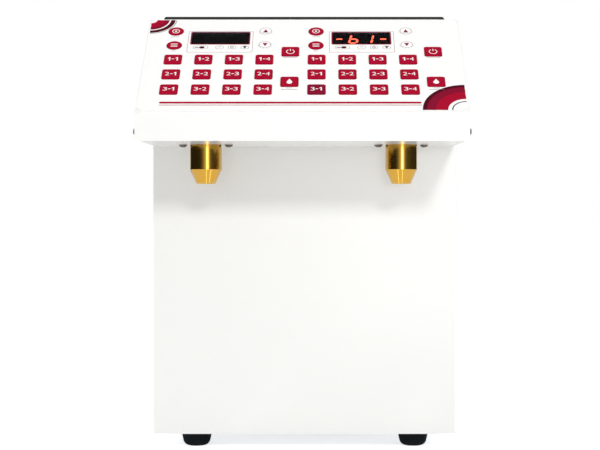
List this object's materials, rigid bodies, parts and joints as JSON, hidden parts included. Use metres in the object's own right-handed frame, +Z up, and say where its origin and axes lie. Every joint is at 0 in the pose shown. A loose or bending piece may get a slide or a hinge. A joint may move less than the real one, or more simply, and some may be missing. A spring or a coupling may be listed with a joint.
{
  "type": "fructose dispenser",
  "caption": "Countertop syrup dispenser with an overhanging head, sloped keypad with displays, two metal nozzles over a cup bay, and heated tanks under a hinged lid.",
  "frame": {"origin": "centre of the bounding box, on the worktop under the feet", "axes": "+Z up, -Y towards the user in front of the nozzles, +X to the user's right"},
  "size_m": [0.3348, 0.4282, 0.477],
  "materials": {
    "white_powder_coat": "smooth gloss powder coat",
    "zinc_plated_steel": "dull zinc plate",
    "printed_laminate": "satin polyester print",
    "smoked_acrylic": "polished dark acrylic",
    "led_module": "dark potting resin",
    "circuit_board": "green solder mask",
    "stainless_steel": "brushed",
    "silicone_heater": "matt silicone",
    "acetal": "moulded",
    "motor_steel": "satin",
    "silicone_hose": "translucent silicone",
    "polished_brass": "mirror polished, gold plated",
    "aluminium_sheet": "mill finish",
    "black_nylon": "fine moulded texture",
    "screw_steel": "dark zinc",
    "foot_rubber": "matt moulded rubber",
    "black_abs": "moulded satin",
    "rotor_rubber": "smooth",
    "key_crimson": "satin polyester print",
    "key_pale": "satin polyester print"
  },
  "bodies": {
    "housing": {"casing": "white_powder_coat", "rear_panel": "white_powder_coat", "top_deck": "white_powder_coat", "head_cover": "white_powder_coat", "base_plate": "zinc_plated_steel", "membrane_panel": "printed_laminate", "display_windows": "smoked_acrylic", "display_modules": "led_module", "control_boards": "circuit_board", "tanks": "stainless_steel", "tank_heaters": "silicone_heater", "pump_bodies": "acetal", "pump_motors": "motor_steel", "hoses": "silicone_hose", "hose_clips": "stainless_steel", "nozzles": "polished_brass", "power_supply": "aluminium_sheet", "power_inlet": "black_nylon", "screws": "screw_steel", "feet": "foot_rubber"},
    "lid": {"lid": "black_abs"},
    "rocker": {"rocker_switch": "black_nylon"},
    "left_rotor": {"left_pump_rotor": "rotor_rubber"},
    "right_rotor": {"right_pump_rotor": "rotor_rubber"},
    "left_key_1_1": {"left_key_1_1": "key_crimson"},
    "left_key_1_2": {"left_key_1_2": "key_crimson"},
    "left_key_1_3": {"left_key_1_3": "key_crimson"},
    "left_key_1_4": {"left_key_1_4": "key_crimson"},
    "left_key_2_1": {"left_key_2_1": "key_crimson"},
    "left_key_2_2": {"left_key_2_2": "key_crimson"},
    "left_key_2_3": {"left_key_2_3": "key_crimson"},
    "left_key_2_4": {"left_key_2_4": "key_crimson"},
    "left_key_3_1": {"left_key_3_1": "key_crimson"},
    "left_key_3_2": {"left_key_3_2": "key_crimson"},
    "left_key_3_3": {"left_key_3_3": "key_crimson"},
    "left_key_3_4": {"left_key_3_4": "key_crimson"},
    "left_key_set": {"left_key_set": "key_crimson"},
    "left_key_mode": {"left_key_mode": "key_crimson"},
    "left_key_up": {"left_key_up": "key_pale"},
    "left_key_down": {"left_key_down": "key_pale"},
    "left_key_power": {"left_key_power": "key_crimson"},
    "left_key_pump": {"left_key_pump": "key_crimson"},
    "right_key_1_1": {"right_key_1_1": "key_crimson"},
    "right_key_1_2": {"right_key_1_2": "key_crimson"},
    "right_key_1_3": {"right_key_1_3": "key_crimson"},
    "right_key_1_4": {"right_key_1_4": "key_crimson"},
    "right_key_2_1": {"right_key_2_1": "key_crimson"},
    "right_key_2_2": {"right_key_2_2": "key_crimson"},
    "right_key_2_3": {"right_key_2_3": "key_crimson"},
    "right_key_2_4": {"right_key_2_4": "key_crimson"},
    "right_key_3_1": {"right_key_3_1": "key_crimson"},
    "right_key_3_2": {"right_key_3_2": "key_crimson"},
    "right_key_3_3": {"right_key_3_3": "key_crimson"},
    "right_key_3_4": {"right_key_3_4": "key_crimson"},
    "right_key_set": {"right_key_set": "key_crimson"},
    "right_key_mode": {"right_key_mode": "key_crimson"},
    "right_key_up": {"right_key_up": "key_pale"},
    "right_key_down": {"right_key_down": "key_pale"},
    "right_key_power": {"right_key_power": "key_crimson"},
    "right_key_pump": {"right_key_pump": "key_crimson"}
  },
  "joints": [
    {"name": "lid_hinge", "type": "hinge", "parent": "housing", "child": "lid", "pos_m": [0, 0.198, 0.472], "axis": [-1, 0, 0], "range_deg": [0, 100]},
    {"name": "power_rocker", "type": "hinge", "parent": "housing", "child": "rocker", "pos_m": [0.105, 0.2076, 0.086], "axis": [1, 0, 0], "range_deg": [0, 22]},
    {"name": "left_pump_turn", "type": "hinge", "parent": "housing", "child": "left_rotor", "pos_m": [-0.074, 0.025, 0.095], "axis": [0, 1, 0], "continuous": true},
    {"name": "right_pump_turn", "type": "hinge", "parent": "housing", "child": "right_rotor", "pos_m": [0.074, 0.025, 0.095], "axis": [0, 1, 0], "continuous": true},
    {"name": "left_key_1_1_press", "type": "slide", "parent": "housing", "child": "left_key_1_1", "axis": [0, 0.6211, -0.7837], "range_m": [0, 0.0005], "stiffness_N_per_m": 4000},
    {"name": "left_key_1_2_press", "type": "slide", "parent": "housing", "child": "left_key_1_2", "axis": [0, 0.6211, -0.7837], "range_m": [0, 0.0005], "stiffness_N_per_m": 4000},
    {"name": "left_key_1_3_press", "type": "slide", "parent": "housing", "child": "left_key_1_3", "axis": [0, 0.6211, -0.7837], "range_m": [0, 0.0005], "stiffness_N_per_m": 4000},
    {"name": "left_key_1_4_press", "type": "slide", "parent": "housing", "child": "left_key_1_4", "axis": [0, 0.6211, -0.7837], "range_m": [0, 0.0005], "stiffness_N_per_m": 4000},
    {"name": "left_key_2_1_press", "type": "slide", "parent": "housing", "child": "left_key_2_1", "axis": [0, 0.6211, -0.7837], "range_m": [0, 0.0005], "stiffness_N_per_m": 4000},
    {"name": "left_key_2_2_press", "type": "slide", "parent": "housing", "child": "left_key_2_2", "axis": [0, 0.6211, -0.7837], "range_m": [0, 0.0005], "stiffness_N_per_m": 4000},
    {"name": "left_key_2_3_press", "type": "slide", "parent": "housing", "child": "left_key_2_3", "axis": [0, 0.6211, -0.7837], "range_m": [0, 0.0005], "stiffness_N_per_m": 4000},
    {"name": "left_key_2_4_press", "type": "slide", "parent": "housing", "child": "left_key_2_4", "axis": [0, 0.6211, -0.7837], "range_m": [0, 0.0005], "stiffness_N_per_m": 4000},
    {"name": "left_key_3_1_press", "type": "slide", "parent": "housing", "child": "left_key_3_1", "axis": [0, 0.6211, -0.7837], "range_m": [0, 0.0005], "stiffness_N_per_m": 4000},
    {"name": "left_key_3_2_press", "type": "slide", "parent": "housing", "child": "left_key_3_2", "axis": [0, 0.6211, -0.7837], "range_m": [0, 0.0005], "stiffness_N_per_m": 4000},
    {"name": "left_key_3_3_press", "type": "slide", "parent": "housing", "child": "left_key_3_3", "axis": [0, 0.6211, -0.7837], "range_m": [0, 0.0005], "stiffness_N_per_m": 4000},
    {"name": "left_key_3_4_press", "type": "slide", "parent": "housing", "child": "left_key_3_4", "axis": [0, 0.6211, -0.7837], "range_m": [0, 0.0005], "stiffness_N_per_m": 4000},
    {"name": "left_key_set_press", "type": "slide", "parent": "housing", "child": "left_key_set", "axis": [0, 0.6211, -0.7837], "range_m": [0, 0.0005], "stiffness_N_per_m": 4000},
    {"name": "left_key_mode_press", "type": "slide", "parent": "housing", "child": "left_key_mode", "axis": [0, 0.6211, -0.7837], "range_m": [0, 0.0005], "stiffness_N_per_m": 4000},
    {"name": "left_key_up_press", "type": "slide", "parent": "housing", "child": "left_key_up", "axis": [0, 0.6211, -0.7837], "range_m": [0, 0.0005], "stiffness_N_per_m": 4000},
    {"name": "left_key_down_press", "type": "slide", "parent": "housing", "child": "left_key_down", "axis": [0, 0.6211, -0.7837], "range_m": [0, 0.0005], "stiffness_N_per_m": 4000},
    {"name": "left_key_power_press", "type": "slide", "parent": "housing", "child": "left_key_power", "axis": [0, 0.6211, -0.7837], "range_m": [0, 0.0005], "stiffness_N_per_m": 4000},
    {"name": "left_key_pump_press", "type": "slide", "parent": "housing", "child": "left_key_pump", "axis": [0, 0.6211, -0.7837], "range_m": [0, 0.0005], "stiffness_N_per_m": 4000},
    {"name": "right_key_1_1_press", "type": "slide", "parent": "housing", "child": "right_key_1_1", "axis": [0, 0.6211, -0.7837], "range_m": [0, 0.0005], "stiffness_N_per_m": 4000},
    {"name": "right_key_1_2_press", "type": "slide", "parent": "housing", "child": "right_key_1_2", "axis": [0, 0.6211, -0.7837], "range_m": [0, 0.0005], "stiffness_N_per_m": 4000},
    {"name": "right_key_1_3_press", "type": "slide", "parent": "housing", "child": "right_key_1_3", "axis": [0, 0.6211, -0.7837], "range_m": [0, 0.0005], "stiffness_N_per_m": 4000},
    {"name": "right_key_1_4_press", "type": "slide", "parent": "housing", "child": "right_key_1_4", "axis": [0, 0.6211, -0.7837], "range_m": [0, 0.0005], "stiffness_N_per_m": 4000},
    {"name": "right_key_2_1_press", "type": "slide", "parent": "housing", "child": "right_key_2_1", "axis": [0, 0.6211, -0.7837], "range_m": [0, 0.0005], "stiffness_N_per_m": 4000},
    {"name": "right_key_2_2_press", "type": "slide", "parent": "housing", "child": "right_key_2_2", "axis": [0, 0.6211, -0.7837], "range_m": [0, 0.0005], "stiffness_N_per_m": 4000},
    {"name": "right_key_2_3_press", "type": "slide", "parent": "housing", "child": "right_key_2_3", "axis": [0, 0.6211, -0.7837], "range_m": [0, 0.0005], "stiffness_N_per_m": 4000},
    {"name": "right_key_2_4_press", "type": "slide", "parent": "housing", "child": "right_key_2_4", "axis": [0, 0.6211, -0.7837], "range_m": [0, 0.0005], "stiffness_N_per_m": 4000},
    {"name": "right_key_3_1_press", "type": "slide", "parent": "housing", "child": "right_key_3_1", "axis": [0, 0.6211, -0.7837], "range_m": [0, 0.0005], "stiffness_N_per_m": 4000},
    {"name": "right_key_3_2_press", "type": "slide", "parent": "housing", "child": "right_key_3_2", "axis": [0, 0.6211, -0.7837], "range_m": [0, 0.0005], "stiffness_N_per_m": 4000},
    {"name": "right_key_3_3_press", "type": "slide", "parent": "housing", "child": "right_key_3_3", "axis": [0, 0.6211, -0.7837], "range_m": [0, 0.0005], "stiffness_N_per_m": 4000},
    {"name": "right_key_3_4_press", "type": "slide", "parent": "housing", "child": "right_key_3_4", "axis": [0, 0.6211, -0.7837], "range_m": [0, 0.0005], "stiffness_N_per_m": 4000},
    {"name": "right_key_set_press", "type": "slide", "parent": "housing", "child": "right_key_set", "axis": [0, 0.6211, -0.7837], "range_m": [0, 0.0005], "stiffness_N_per_m": 4000},
    {"name": "right_key_mode_press", "type": "slide", "parent": "housing", "child": "right_key_mode", "axis": [0, 0.6211, -0.7837], "range_m": [0, 0.0005], "stiffness_N_per_m": 4000},
    {"name": "right_key_up_press", "type": "slide", "parent": "housing", "child": "right_key_up", "axis": [0, 0.6211, -0.7837], "range_m": [0, 0.0005], "stiffness_N_per_m": 4000},
    {"name": "right_key_down_press", "type": "slide", "parent": "housing", "child": "right_key_down", "axis": [0, 0.6211, -0.7837], "range_m": [0, 0.0005], "stiffness_N_per_m": 4000},
    {"name": "right_key_power_press", "type": "slide", "parent": "housing", "child": "right_key_power", "axis": [0, 0.6211, -0.7837], "range_m": [0, 0.0005], "stiffness_N_per_m": 4000},
    {"name": "right_key_pump_press", "type": "slide", "parent": "housing", "child": "right_key_pump", "axis": [0, 0.6211, -0.7837], "range_m": [0, 0.0005], "stiffness_N_per_m": 4000}
  ]
}
